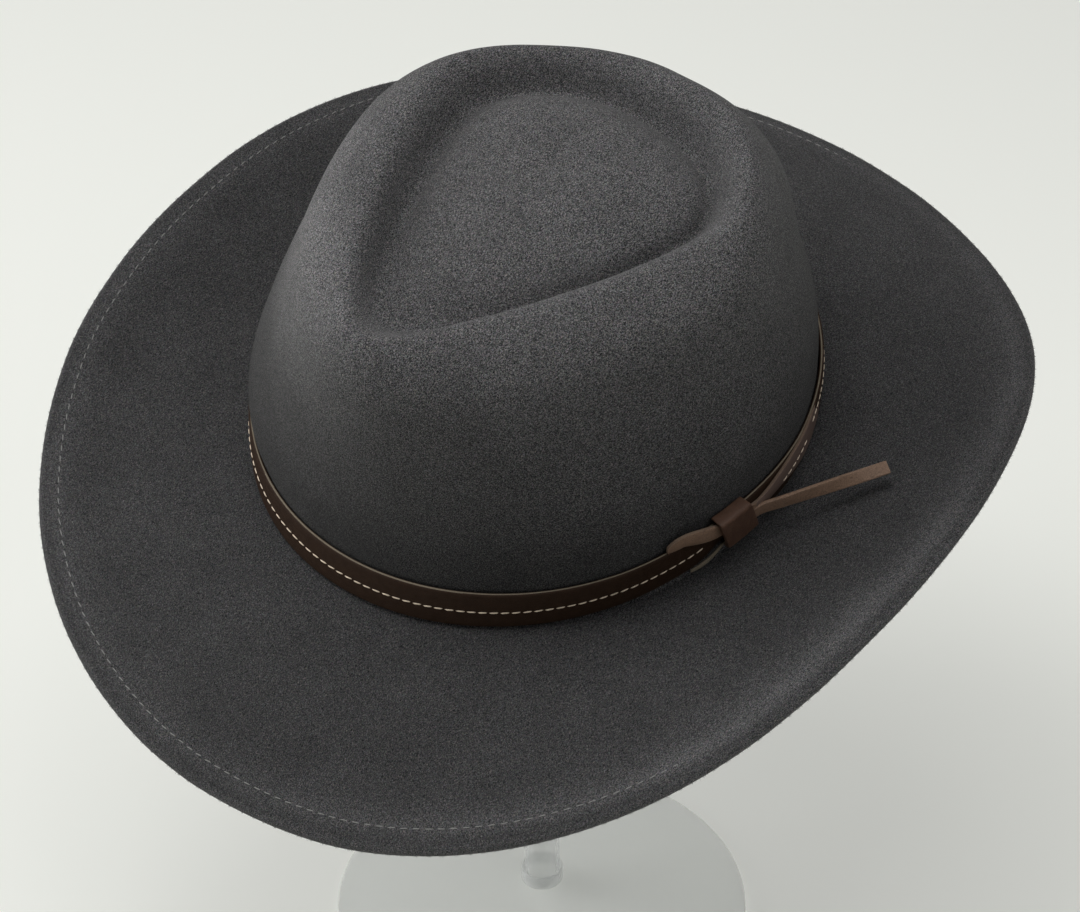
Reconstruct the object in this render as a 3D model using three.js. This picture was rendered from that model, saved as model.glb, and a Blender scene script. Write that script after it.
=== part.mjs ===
// Wide-brim felt hat with a teardrop crown, a stitched leather band and a thong knot, on a clear stand
// Millimetres, +Z up, +X to the front of the hat, +Y to the wearer's left
// The origin is the middle of the stand's underside
import * as THREE from "three";

// Sizes of the felt body
const headLength = 210;
const headWidth = 180;
const crownHeight = 104;
const feltThickness = 2.5;
const bendRadius = 1.2;

// Brim: widths are measured along the felt, drops and rises from the foot of the crown to the edge
const brimEndWidth = 81.5;
const brimSideWidth = 67;
const frontDrop = 28;
const backDrop = 19;
const sideRise = 16;
const foldWidth = 8;
const foldThickness = 5;
const foldStepWidth = 0.4;

// Gap kept between pieces that touch
const fitGap = 0.3;

// Leather band: it rises a little towards the knot, and its lower edge is drawn up inside the wrap
const bandHeight = 15;
const bandThickness = 1.8;
const bandRiseHeight = 3.5;
const bandDrawHeight = 4.5;

// Knot and thongs
const wrapWidth = 13;
const wrapThickness = 1.6;
const wrapHeight = 16;
const wrapCornerShare = 0.6;
const thongWidth = 4.6;
const thongThickness = 1.5;
const tailLength = 48;

// Clear stand
const baseDiameter = 150;
const baseThickness = 5;
const baseBevel = 0.6;
const rodDiameter = 13;
const rodSetback = 12;
const collarDiameter = 15.5;
const collarHeight = 5.5;
const seatLevel = 282;
const seatForward = -2;
const topDiameter = 90;
const topThickness = 4;
const topBevel = 1;
const bossDiameter = 22;
const bossHeight = 11;

// Turns round the hat and leans, in degrees; turns start at the front and go to the wearer's left
const knotTurn = 81.5;
const tailTurn = 30;
const wrapSlant = 18;
const knotReach = 26;
const leanTurn = 37;
const leanAngle = 12;

// Mesh fineness
const turnSteps = 64;
const bandSteps = 60;
const bandKnotSteps = 26;
const roundSides = 32;

const brimShares = [0.1, 0.26, 0.44, 0.62, 0.78, 0.9, 1];
const edgeSteps = 4;
const endSteps = 6;

// How the height of the brim grows from the crown to the edge
const brimEase = 1.5;

// Sections of the crown from its foot to the dome. The front, middle and back columns are places along
// the hat as shares of half the head length, side is a share of half the head width, and pinch narrows
// the front half. The up columns are shares of the crown height. Shift moves a section to the wearer's
// left as a share of half the head width, and twist turns it, in degrees.
const crownSections = [
  { name: "waist", front: 0.97, middle: 0, back: 0.96, side: 1.0, pinch: 0.0, shift: 0, twist: 0,
    upFront: 0.34, upSide: 0.34, upBack: 0.34, steps: 3 },
  { name: "shoulder", front: 0.93, middle: -0.02, back: 0.86, side: 0.89, pinch: 0.14, shift: 0, twist: -1,
    upFront: 0.7, upSide: 0.68, upBack: 0.66, steps: 3 },
  { name: "brow", front: 0.9, middle: -0.06, back: 0.73, side: 0.82, pinch: 0.28, shift: -0.005, twist: -2,
    upFront: 0.87, upSide: 0.9, upBack: 0.875, steps: 3 },
  { name: "ridge", front: 0.83, middle: -0.2, back: 0.64, side: 0.67, pinch: 0.52, shift: -0.01, twist: -4,
    upFront: 0.95, upSide: 0.995, upBack: 0.96, steps: 3 },
  { name: "slope", front: 0.75, middle: -0.2, back: 0.575, side: 0.595, pinch: 0.48, shift: -0.01, twist: -4,
    upFront: 0.92, upSide: 0.95, upBack: 0.93, steps: 2 },
  { name: "valley", front: 0.66, middle: -0.2, back: 0.52, side: 0.525, pinch: 0.42, shift: -0.01, twist: -4,
    upFront: 0.86, upSide: 0.865, upBack: 0.86, steps: 2 },
  { name: "shelf", front: 0.47, middle: -0.2, back: 0.465, side: 0.46, pinch: 0.3, shift: 0.01, twist: -4,
    upFront: 0.91, upSide: 0.92, upBack: 0.915, steps: 2 },
  { name: "dome", front: 0.22, middle: -0.19, back: 0.32, side: 0.25, pinch: 0.15, shift: 0.01, twist: -4,
    upFront: 0.955, upSide: 0.965, upBack: 0.96, steps: 2 },
];
const domeCentre = { forward: -0.18, side: 0.01, up: 0.98, steps: 3 };
const pinchEase = 1.2;

const halfLength = headLength / 2;
const halfWidth = headWidth / 2;
const toRadians = THREE.MathUtils.degToRad;
const upward = new THREE.Vector3(0, 0, 1);

// A value that goes smoothly round the hat through its front, side and back values
function roundHat(front, side, back, turn) {
  const ends = (front + back) / 2;
  const swing = ((front - back) / 2) * Math.cos(turn);
  return (ends + side) / 2 + swing + ((ends - side) / 2) * Math.cos(2 * turn);
}

// A point of the head oval moved out by a distance, at a height
function ovalPoint(turn, out, height) {
  const normal = new THREE.Vector2(Math.cos(turn) / halfLength, Math.sin(turn) / halfWidth).normalize();
  const x = halfLength * Math.cos(turn) + out * normal.x;
  const y = halfWidth * Math.sin(turn) + out * normal.y;
  return new THREE.Vector3(x, y, height);
}

// A point of one crown section
function sectionPoint(section, turn) {
  const c = Math.cos(turn);
  const reach = c > 0 ? section.front - section.middle : section.back + section.middle;
  const narrow = 1 - section.pinch * Math.max(c, 0) ** pinchEase;
  const x = halfLength * (section.middle + reach * c);
  const y = halfWidth * (section.shift + section.side * narrow * Math.sin(turn));
  const up = roundHat(section.upFront, section.upSide, section.upBack, turn);
  const twist = toRadians(section.twist);
  return new THREE.Vector3(x, y, crownHeight * up).applyAxisAngle(upward, twist);
}

// The outer face of the crown at one turn, as a curve from the foot up to the middle of the dome
function crownCurve(turn) {
  const points = [ovalPoint(turn, 0, bendRadius)];
  for (const section of crownSections) {
    points.push(sectionPoint(section, turn));
  }
  const { forward, side, up } = domeCentre;
  points.push(new THREE.Vector3(halfLength * forward, halfWidth * side, crownHeight * up));
  return new THREE.CatmullRomCurve3(points, false, "centripetal");
}

// The rows along that curve, finer where the felt bends
function crownRowPlaces() {
  const steps = [...crownSections.map((section) => section.steps), domeCentre.steps];
  const places = [];
  steps.forEach((count, segment) => {
    for (let i = 0; i < count; i += 1) {
      places.push((segment + i / count) / steps.length);
    }
  });
  return places;
}

function brimWidth(turn) {
  return roundHat(brimEndWidth, brimSideWidth, brimEndWidth, turn);
}

// The upper face of the brim at a share of the way from the crown to the edge
function brimPoint(turn, share) {
  const rise = roundHat(-frontDrop, sideRise, -backDrop, turn);
  const width = brimWidth(turn);
  const reach = Math.sqrt(width * width - rise * rise) - bendRadius - foldThickness / 2;
  return ovalPoint(turn, bendRadius + reach * share, rise * share ** brimEase);
}

// Rings of the upper face, from the dome out to the edge of the brim
function upperRings() {
  const turns = Array.from({ length: turnSteps }, (_, i) => (2 * Math.PI * i) / turnSteps);
  const curves = turns.map(crownCurve);
  const rings = crownRowPlaces().map((place) => curves.map((curve) => curve.getPoint(place)));
  rings.reverse();
  const bendSteps = 2;
  for (let i = 1; i <= bendSteps; i += 1) {
    const angle = (Math.PI / 2) * (i / bendSteps);
    const out = bendRadius * (1 - Math.cos(angle));
    const height = bendRadius * (1 - Math.sin(angle));
    rings.push(turns.map((turn) => ovalPoint(turn, out, height)));
  }
  for (const share of brimShares) {
    rings.push(turns.map((turn) => brimPoint(turn, share)));
  }
  return rings;
}

// Outward directions of a grid of rings: up on the brim and dome, outwards on the crown wall
function ringNormals(rings, pole) {
  return rings.map((ring, row) => ring.map((point, i) => {
    const inner = row > 0 ? rings[row - 1][i] : pole;
    const outer = row < rings.length - 1 ? rings[row + 1][i] : point;
    const before = ring[(i + ring.length - 1) % ring.length];
    const after = ring[(i + 1) % ring.length];
    const along = new THREE.Vector3().subVectors(outer, inner);
    const round = new THREE.Vector3().subVectors(after, before);
    return along.cross(round).normalize();
  }));
}

// The edge of the brim: a half round, then the turned-under strip, then the step up to the single felt
function edgeRings(ring, normals, inward) {
  const radius = foldThickness / 2;
  const offsets = [];
  for (let i = 1; i <= edgeSteps; i += 1) {
    const angle = (Math.PI * i) / edgeSteps;
    offsets.push({ out: radius * Math.sin(angle), down: radius * (1 - Math.cos(angle)) });
  }
  const strip = foldWidth - radius;
  offsets.push({ out: -strip, down: foldThickness });
  offsets.push({ out: -strip - foldStepWidth, down: feltThickness });
  return offsets.map(({ out, down }) => ring.map((point, i) => {
    const place = point.clone().addScaledVector(inward[i], -out);
    return place.addScaledVector(normals[i], -down);
  }));
}

// A closed body from rings, with a pole at each end
function poledBody(rings, firstPole, lastPole) {
  const count = rings[0].length;
  const points = [firstPole, ...rings.flat(), lastPole];
  const last = points.length - 1;
  const faces = [];
  const at = (row, i) => 1 + row * count + (i % count);
  for (let i = 0; i < count; i += 1) {
    faces.push(0, at(0, i), at(0, i + 1));
    faces.push(last, at(rings.length - 1, i + 1), at(rings.length - 1, i));
    for (let row = 0; row < rings.length - 1; row += 1) {
      faces.push(at(row, i), at(row + 1, i), at(row + 1, i + 1));
      faces.push(at(row, i), at(row + 1, i + 1), at(row, i + 1));
    }
  }
  return bodyGeometry(points, faces);
}

function bodyGeometry(points, faces) {
  const geometry = new THREE.BufferGeometry();
  geometry.setAttribute("position", new THREE.Float32BufferAttribute(points.flatMap((p) => p.toArray()), 3));
  geometry.setIndex(faces);
  geometry.computeVertexNormals();
  return geometry;
}

function feltGeometry() {
  const upper = upperRings();
  const pole = upper.shift()[0];
  const normals = ringNormals(upper, pole);
  const edge = upper.length - 1;
  const inward = upper[edge].map((point, i) => upper[edge - 1][i].clone().sub(point).normalize());
  const edges = edgeRings(upper[edge], normals[edge], inward);
  const under = [];
  for (let row = edge - 2; row >= 0; row -= 1) {
    under.push(upper[row].map((point, i) => point.clone().addScaledVector(normals[row][i], -feltThickness)));
  }
  const underPole = pole.clone().add(new THREE.Vector3(0, 0, -feltThickness));
  return poledBody([...upper, ...edges, ...under], pole, underPole);
}

// A point of the crown wall near its foot, moved straight out by a distance
function wallPoint(turn, height, out) {
  const curve = crownCurve(turn);
  let low = 0;
  let high = 1 / (crownSections.length + 1);
  for (let i = 0; i < 24; i += 1) {
    const middle = (low + high) / 2;
    if (curve.getPoint(middle).z < height) {
      low = middle;
    } else {
      high = middle;
    }
  }
  const wall = curve.getPoint(low);
  const normal = ovalPoint(turn, 1, 0).sub(ovalPoint(turn, 0, 0));
  return wall.addScaledVector(normal, out);
}

// A smooth bump round one turn of the hat, 1 at its middle
function bump(turn, middle, spread, power) {
  const away = Math.atan2(Math.sin(turn - middle), Math.cos(turn - middle));
  return Math.exp(-(Math.abs(away / spread) ** power));
}

const knot = toRadians(knotTurn);
const riseSpread = toRadians(20);
const drawSpread = toRadians(7.4);
const bandInner = fitGap;
const bandOuter = bandInner + bandThickness;

// The wrap is set at a slant, so its lower lip lies a little further round than its middle
const wrapInside = bandOuter + 2 * fitGap + thongThickness;
const wrapOutside = wrapInside + wrapThickness;
const wrapReach = halfWidth + wrapOutside;
const slant = Math.tan(toRadians(wrapSlant));
const lipTurn = knot + (slant * wrapHeight) / 2 / wrapReach;
const lipHalfTurn = wrapWidth / 2 / wrapReach;

function bandRise(turn) {
  return bandRiseHeight * bump(turn, knot, riseSpread, 2);
}

function bandLowEdge(turn) {
  return bendRadius + bandRise(turn) + bandDrawHeight * bump(turn, lipTurn, drawSpread, 6);
}

function bandHighEdge(turn) {
  return bendRadius + bandHeight + bandRise(turn);
}

// A closed loop of sections, or an open run of them with a flat cap at each end
function sweptBody(sections, closed) {
  const count = sections[0].length;
  const points = sections.flat();
  const faces = [];
  const runs = closed ? sections.length : sections.length - 1;
  const at = (run, i) => (run % sections.length) * count + (i % count);
  for (let run = 0; run < runs; run += 1) {
    for (let i = 0; i < count; i += 1) {
      faces.push(at(run, i), at(run + 1, i), at(run + 1, i + 1));
      faces.push(at(run, i), at(run + 1, i + 1), at(run, i + 1));
    }
  }
  return { points, faces };
}

// The turns of the band's sections, closer together round the knot
function bandTurns() {
  const fine = toRadians(knotReach);
  const turns = [];
  for (let i = 0; i < bandKnotSteps; i += 1) {
    turns.push(knot - fine + (2 * fine * i) / bandKnotSteps);
  }
  for (let i = 0; i < bandSteps; i += 1) {
    turns.push(knot + fine + ((2 * Math.PI - 2 * fine) * i) / bandSteps);
  }
  return turns;
}

function bandGeometry() {
  const sections = [];
  for (const turn of bandTurns()) {
    const low = bandLowEdge(turn);
    const high = bandHighEdge(turn);
    sections.push([
      wallPoint(turn, low, bandInner),
      wallPoint(turn, low, bandOuter),
      wallPoint(turn, high, bandOuter),
      wallPoint(turn, high, bandInner),
    ]);
  }
  const { points, faces } = sweptBody(sections, true);
  return bodyGeometry(points, faces);
}

// A flat strip along a curve, its face towards the given directions
function stripGeometry(curve, faceTowards, width, thickness, steps) {
  const sections = [];
  for (let i = 0; i <= steps; i += 1) {
    const place = i / steps;
    const point = curve.getPointAt(place);
    const tangent = curve.getTangentAt(place);
    const face = faceTowards(point, place);
    const across = new THREE.Vector3().crossVectors(face, tangent).normalize();
    const out = new THREE.Vector3().crossVectors(tangent, across).normalize();
    const corner = (side, level) => point.clone()
      .addScaledVector(across, (side * width) / 2)
      .addScaledVector(out, (level * thickness) / 2);
    sections.push([corner(-1, -1), corner(-1, 1), corner(1, 1), corner(1, -1)]);
  }
  const { points, faces } = sweptBody(sections, false);
  const last = points.length - 4;
  faces.push(0, 1, 2, 0, 2, 3);
  faces.push(last, last + 2, last + 1, last, last + 3, last + 2);
  return bodyGeometry(points, faces);
}

// Straight out from the crown wall at a point
function wallOutward(point) {
  return new THREE.Vector3(point.x / halfLength ** 2, point.y / halfWidth ** 2, 0).normalize();
}

// The wrap of the knot: a plate with a lip over each edge of the band, set at a slant
function wrapGeometry() {
  const lipEnds = [lipTurn - lipHalfTurn * 1.3, lipTurn + lipHalfTurn * 1.3];
  const bandUnder = Math.min(...lipEnds.map(bandLowEdge));
  const low = bandUnder - fitGap - wrapThickness;
  const high = low + wrapHeight;
  const corner = wrapThickness * wrapCornerShare;
  const outline = [
    [bandInner, low], [wrapOutside - corner, low], [wrapOutside, low + corner],
    [wrapOutside, high - corner], [wrapOutside - corner, high], [bandInner, high],
    [bandInner, high - wrapThickness], [wrapInside, high - wrapThickness],
    [wrapInside, low + wrapThickness], [bandInner, low + wrapThickness],
  ];
  const middle = (low + high) / 2;
  const steps = 6;
  const sections = [];
  for (let i = 0; i <= steps; i += 1) {
    const along = wrapWidth * (i / steps - 0.5);
    sections.push(outline.map(([out, height]) => {
      const turn = knot + (along - slant * (height - middle)) / wrapReach;
      return wallPoint(turn, height, out);
    }));
  }
  const { points, faces } = sweptBody(sections, false);
  const cap = THREE.ShapeUtils.triangulateShape(outline.map(([x, y]) => new THREE.Vector2(x, y)), []);
  const last = points.length - outline.length;
  for (const [a, b, c] of cap) {
    faces.push(a, b, c);
    faces.push(last + a, last + c, last + b);
  }
  return bodyGeometry(points, faces);
}

// The tie thong: it bends over the band's upper edge, runs through the wrap and lies along the band.
// Turns are in degrees from the knot; height is a share of the band height from the foot of the band,
// and out a share of the thong thickness from its place flat on the band.
const thongPath = [
  { turn: -15.3, height: 1.4, out: -0.9 },
  { turn: -15.1, height: 1.6, out: 0.2 },
  { turn: -12.6, height: 1.68, out: 0.9 },
  { turn: -9.3, height: 1.48, out: 0.5 },
  { turn: -5.5, height: 1.16, out: 0 },
  { turn: -1, height: 1.1, out: 0 },
  { turn: 3, height: 1.1, out: 0 },
  { turn: 8, height: 1.18, out: 0 },
  { turn: 13, height: 1.36, out: -0.2 },
  { turn: 18, height: 1.42, out: -0.8 },
  { turn: 24, height: 1.42, out: -1.3 },
  { turn: 30, height: 1.36, out: -1.35 },
  { turn: 35, height: 1.28, out: -1.35 },
];

function thongGeometry() {
  const flat = bandOuter + fitGap + thongThickness / 2;
  const points = thongPath.map(({ turn, height, out }) => (
    wallPoint(knot + toRadians(turn), bendRadius + bandHeight * height, flat + thongThickness * out)
  ));
  const curve = new THREE.CatmullRomCurve3(points, false, "centripetal");
  return stripGeometry(curve, wallOutward, thongWidth, thongThickness, 36);
}

// The start of the loose tail inside the wrap: degrees from the knot, and how far off the band as a
// share of the thong thickness
const tailStart = [
  { turn: 1, out: 0 },
  { turn: 3.5, out: 0.07 },
  { turn: 6, out: 0.2 },
];
const tailShares = [0.2, 0.6, 1];
const tailTwist = 0.6;

// The loose tail leaves the wrap low down and stands straight off over the brim
function tailGeometry() {
  const flat = bandOuter + fitGap + thongThickness / 2;
  const level = bandLowEdge(knot) + thongWidth / 2 + fitGap;
  const [start, inWrap, leaving] = tailStart.map(({ turn, out }) => (
    wallPoint(knot + toRadians(turn), level, flat + thongThickness * out)
  ));
  const away = new THREE.Vector3(-Math.cos(toRadians(tailTurn)), Math.sin(toRadians(tailTurn)), 0);
  away.normalize();
  const free = tailShares.map((share) => leaving.clone().addScaledVector(away, tailLength * share));
  const curve = new THREE.CatmullRomCurve3([start, inWrap, leaving, ...free], false, "centripetal");
  const up = new THREE.Vector3(0, 0, 1);
  const faceTowards = (point, place) => wallOutward(point).lerp(up, tailTwist * place * place);
  return stripGeometry(curve, faceTowards, thongWidth, thongThickness, 16);
}

// A round body from a profile of radius and height, which starts and ends on the axis
function turnedGeometry(profile) {
  const points = profile.map(([radius, height]) => new THREE.Vector2(radius, height));
  const geometry = new THREE.LatheGeometry(points, roundSides);
  geometry.rotateX(Math.PI / 2);
  return geometry;
}

// A quarter round from the axis down to the side, or the other way
function quarterRound(radius, level, fromAxis) {
  const steps = endSteps;
  const profile = [];
  for (let i = 0; i <= steps; i += 1) {
    const angle = (Math.PI / 2) * (fromAxis ? 1 - i / steps : i / steps);
    const reach = i === (fromAxis ? 0 : steps) ? 0 : radius * Math.cos(angle);
    profile.push([reach, level + radius * Math.sin(angle)]);
  }
  return profile;
}

function baseGeometry() {
  const radius = baseDiameter / 2;
  return turnedGeometry([
    [0, 0], [radius - baseBevel, 0], [radius, baseBevel], [radius, baseThickness - baseBevel],
    [radius - baseBevel, baseThickness], [0, baseThickness],
  ]);
}

function rodGeometry() {
  const radius = rodDiameter / 2;
  return turnedGeometry([[0, baseThickness + fitGap], [radius, baseThickness + fitGap],
    ...quarterRound(radius, seatLevel, false)]);
}

function collarGeometry() {
  const inner = rodDiameter / 2 + fitGap;
  const outer = collarDiameter / 2;
  const low = baseThickness + fitGap;
  const high = low + collarHeight;
  return turnedGeometry([[inner, low], [outer, low], [outer, high], [inner, high], [inner, low]]);
}

// The top under the crown: a disc on a boss whose round seat takes the end of the rod. Its own origin is
// the middle of that seat.
function topGeometry() {
  const seat = rodDiameter / 2 + fitGap;
  const radius = topDiameter / 2;
  const edge = topBevel;
  return turnedGeometry([
    ...quarterRound(seat, 0, true), [bossDiameter / 2, 0], [bossDiameter / 2, bossHeight],
    [radius - edge, bossHeight], [radius, bossHeight + edge], [radius, bossHeight + topThickness - edge],
    [radius - edge, bossHeight + topThickness], [0, bossHeight + topThickness],
  ]);
}

// The lowest place of the crown's inner face over the stand's top
function lowestInnerFace(geometry, centreX) {
  const places = geometry.getAttribute("position");
  const reach = topDiameter / 2 + feltThickness;
  let lowest = Infinity;
  for (let i = 0; i < places.count; i += 1) {
    const across = Math.hypot(places.getX(i) - centreX, places.getY(i));
    if (across < reach && places.getZ(i) > crownHeight / 2) {
      lowest = Math.min(lowest, places.getZ(i));
    }
  }
  return lowest;
}

const feltGrey = new THREE.MeshStandardMaterial({ color: 0x45474a, roughness: 0.95, metalness: 0 });
const bandBrown = new THREE.MeshStandardMaterial({ color: 0x3b2620, roughness: 0.55, metalness: 0 });
const thongBrown = new THREE.MeshStandardMaterial({ color: 0x5c3d31, roughness: 0.6, metalness: 0 });
const clear = { color: 0xe6ebe6, roughness: 0.05, metalness: 0, transparent: true, opacity: 0.3 };

function piece(name, geometry, material) {
  const mesh = new THREE.Mesh(geometry, material);
  mesh.name = name;
  return mesh;
}

const hat = new THREE.Group();
const felt = feltGeometry();
hat.add(piece("felt_body", felt, feltGrey.clone()));
hat.add(piece("hat_band", bandGeometry(), bandBrown.clone()));
hat.add(piece("knot_wrap", wrapGeometry(), thongBrown.clone()));
hat.add(piece("tie_thong", thongGeometry(), thongBrown.clone()));
hat.add(piece("loose_tail", tailGeometry(), thongBrown.clone()));

// The middle of the seat lies under the crown, a little behind its middle
const standTop = piece("stand_top", topGeometry(), new THREE.MeshStandardMaterial(clear));
const topLevel = lowestInnerFace(felt, seatForward) - fitGap;
standTop.position.set(seatForward, 0, topLevel - topThickness - bossHeight);
hat.add(standTop);

// The hat leans on the round end of the rod
const leanTo = toRadians(leanTurn);
const leanAxis = new THREE.Vector3(-Math.sin(leanTo), Math.cos(leanTo), 0);
hat.quaternion.setFromAxisAngle(leanAxis, toRadians(leanAngle));
const rodX = -rodSetback * Math.cos(leanTo);
const rodY = -rodSetback * Math.sin(leanTo);
const seat = new THREE.Vector3(rodX, rodY, seatLevel);
hat.position.copy(seat).sub(standTop.position.clone().applyQuaternion(hat.quaternion));

const stand = new THREE.Group();
stand.add(piece("stand_base", baseGeometry(), new THREE.MeshStandardMaterial(clear)));
const rod = piece("stand_rod", rodGeometry(), new THREE.MeshStandardMaterial(clear));
const collar = piece("stand_collar", collarGeometry(), new THREE.MeshStandardMaterial(clear));
for (const mesh of [rod, collar]) {
  mesh.position.set(rodX, rodY, 0);
  stand.add(mesh);
}

const part = new THREE.Group();
part.add(hat, stand);

export default part;
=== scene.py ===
import math
import random

import bmesh
import bpy
from bpy.props import FloatProperty, FloatVectorProperty, PointerProperty
from mathutils import Matrix, Vector, geometry
from mathutils.bvhtree import BVHTree


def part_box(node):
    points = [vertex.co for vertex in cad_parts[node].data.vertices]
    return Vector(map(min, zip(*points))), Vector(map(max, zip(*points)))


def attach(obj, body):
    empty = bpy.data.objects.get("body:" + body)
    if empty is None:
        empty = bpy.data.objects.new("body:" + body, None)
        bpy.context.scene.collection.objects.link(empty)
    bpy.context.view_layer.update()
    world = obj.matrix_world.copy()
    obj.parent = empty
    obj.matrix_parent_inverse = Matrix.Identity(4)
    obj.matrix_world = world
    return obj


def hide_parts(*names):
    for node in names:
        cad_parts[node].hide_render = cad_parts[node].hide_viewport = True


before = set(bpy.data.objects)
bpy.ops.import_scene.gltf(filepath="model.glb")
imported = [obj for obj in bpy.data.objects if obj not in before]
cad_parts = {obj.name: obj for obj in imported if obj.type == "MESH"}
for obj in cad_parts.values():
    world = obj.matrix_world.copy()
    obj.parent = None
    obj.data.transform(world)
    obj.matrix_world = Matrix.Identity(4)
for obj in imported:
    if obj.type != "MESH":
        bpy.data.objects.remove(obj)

bl_info = {
    "name": "Felt Hat Finish",
    "version": (1, 0, 0),
    "blender": (4, 5, 0),
    "location": "View3D > Sidebar > Hat",
    "description": "Felt, leather, stitches, clear stand and studio for a wide-brim hat",
    "category": "Object",
}

# The hat's own frame: the middle of the foot of its crown, leaned on the rod. In that frame +X is the
# front of the hat, +Y the wearer's left and +Z up. Turns go round it from the front to the left.
HAT_CENTRE = Vector((-0.01958, -0.01626, 0.21116))
LEAN_TURN = math.radians(37)
LEAN_ANGLE = math.radians(12)
KNOT_TURN = math.radians(81.5)
HEAD_LENGTH = 0.210
HEAD_WIDTH = 0.180

# Camera: it stands on the side that the hat leans to. In a picture of that size the hat's centre falls
# on the centre pixel.
CAMERA_TURN = math.radians(37)
CAMERA_ELEVATION = math.radians(35)
CAMERA_DISTANCE = 1.3
IMAGE_SIZE = (1080, 912)
FOCAL_PIXELS = 3802
SENSOR_WIDTH = 36.0
CENTRE_PIXEL = (538.6, 400.3)

# Studio: the tone of the floor's glow, then the side of the floor, how far it lies below the part and
# the side of each square light, in m
GLOW_COLOUR = (0.99, 1.0, 0.95, 1)
FLOOR_SIZE = 12
FLOOR_DROP = 0.0001
LIGHT_SIZE = 1.2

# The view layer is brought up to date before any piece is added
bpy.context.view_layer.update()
# Points of a solid that are nearer than this are one point, in m
MERGE_DISTANCE = 0.00001
# A solid's edges that turn by more than this are rounded: in felt and leather, and in the clear stand
SHARP_TURN = math.radians(40)
STAND_SHARP_TURN = math.radians(30)
SMOOTH_LEVELS = 2
# How far from the hat a ray at its outside starts, and how far past the inner side of the felt wall a
# ray back at the wall starts, in m
RAY_START = 0.5
WALL_REACH = 0.01
# The band's points within this turn of a place give its height there
COLUMN_REACH = math.radians(1.5)
# The band's faces that look up or down more than this are its cut edges
CUT_FACING = 0.97
# Sides of the clear base and of the clear rod and collar, and the gap between rod and collar in m
BASE_SIDES = 192
ROD_SIDES = 96
ROD_GAP = 0.0003
# Faces of the clear base that point up or down less than this are its rim
RIM_FACING = 0.97

# The tie thong in rows across it. Each row gives its lower and its upper end as a turn in degrees from
# the knot and a height in mm, then how far its middle is off the felt in mm. It comes from behind the
# band, bends over it and goes through the wrap.
TIE_ROWS = (
    ((-14.6, 15.8), (-17.6, 15.4), 1.0),
    ((-14.7, 17.4), (-18.5, 18.2), 1.3),
    ((-14.6, 18.6), (-18.6, 21.4), 2.0),
    ((-14.0, 18.9), (-17.2, 24.2), 2.7),
    ((-12.4, 18.0), (-14.6, 25.2), 3.2),
    ((-10.0, 16.2), (-11.0, 23.6), 3.4),
    ((-7.0, 14.4), (-7.0, 20.6), 3.3),
    ((-4.0, 13.4), (-4.0, 19.0), 3.2),
    ((2.0, 12.3), (2.0, 17.3), 3.1),
    ((6.0, 10.5), (6.0, 15.6), 3.1),
    ((10.0, 10.6), (10.0, 16.8), 3.1),
)
STRAP_START = math.radians(5)
# Past the wrap it widens and becomes a layer of the band: turn, then its lower and upper end as shares
# of the band's height, then how far its middle is off the felt in mm
STRAP_ROWS = (
    (14.0, 0.48, 0.95, 3.0),
    (18.0, 0.38, 1.0, 2.7),
    (24.0, 0.22, 1.0, 2.3),
    (31.0, 0.08, 1.0, 1.9),
    (40.0, 0.05, 0.97, 1.4),
)
# The strip that shows beside the wrap, where the band's lower edge turns out, in rows of the same kind
LIP_ROWS = (
    (-12.5, -0.07, 0.0, 2.1),
    (-10.5, -0.1, 0.02, 2.6),
    (-8.0, -0.1, 0.03, 2.9),
    (-5.5, -0.09, 0.03, 2.9),
    (-3.0, -0.07, 0.04, 2.7),
    (-1.0, -0.04, 0.05, 2.4),
)
# How full the tie and the lip are in their middle and how round the lip's long edges are, in m
TIE_FULLNESS = 0.00025
LIP_FULLNESS = 0.0002
LIP_ROUND = 0.0001
# Ovals are shares of the head's own. The crown is inside the first for its swell and its painted light and
# shade, inside the second for its growth and inside the third for its nap.
CROWN_OVAL = 1.03
SHOULDER_OVAL = 1.05
NAP_OVAL = 1.01
# How far the brim's edge stands out from the solid's: turn in degrees, then mm
BRIM_GROWTH = (
    (-180, 2.4), (-140, 0.1), (-90, -2.4), (-55, 0.3), (-35, 0.9), (0, 0.0),
    (25, 2.2), (45, 2.3), (80, 0.0), (110, 0.0), (138, 3.0), (158, 2.0), (180, 2.4),
)
# The same for the shoulder of the crown, away from the middle of the head
CROWN_GROWTH = ((-180, 2.5), (-140, -1.5), (-100, 0.0), (120, 0.0), (157, 4.5), (180, 2.5))
CROWN_MIDDLE = Vector((0, 0, 0.05))
# Where these set in and are full: ovals on the brim, then heights in m and ovals on the crown
BRIM_OVALS = (1.15, 1.7)
SHOULDER_HEIGHTS = (0.055, 0.080)
SHOULDER_OVALS = (0.45, 0.72)
# Size of the waves in the felt's surface, in m
WAVER_SCALE = 0.03
# Painted shade on the crown: darker towards the band, where the brim shades the wall, and lighter
# up towards the top: height in mm and the tone there. It starts above the foot, in m.
CROWN_FOOT = 0.01
CROWN_PAINTED_SHADE = ((15, 0.46), (28, 0.56), (45, 0.76), (65, 0.97), (85, 1.16), (100, 1.36))
# Hairs on the brim's edge: how far in they grow in m, how far they lean, how many for each m2, the
# shortest as a share of the longest, and the seed of their places
FUZZ_REACH = 0.0016
HAIR_STRAY = 0.9
HAIRS_PER_AREA = 3.0e6
SHORTEST_HAIR = 0.3
HAIR_SEED = 11
# Painted light on the crown near its shoulder on the wearer's front right, where it catches the
# light: middle turn, how far to each side, how much, and the heights in m and the ovals where it sets in
# and is full
PAINTED_LIGHT_TURN = math.radians(-50)
PAINTED_LIGHT_SPREAD = math.radians(60)
PAINTED_LIGHT_LIFT = 0.62
PAINTED_LIGHT_HEIGHTS = (0.045, 0.08)
PAINTED_LIGHT_OVALS = (0.6, 0.8)
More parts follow.
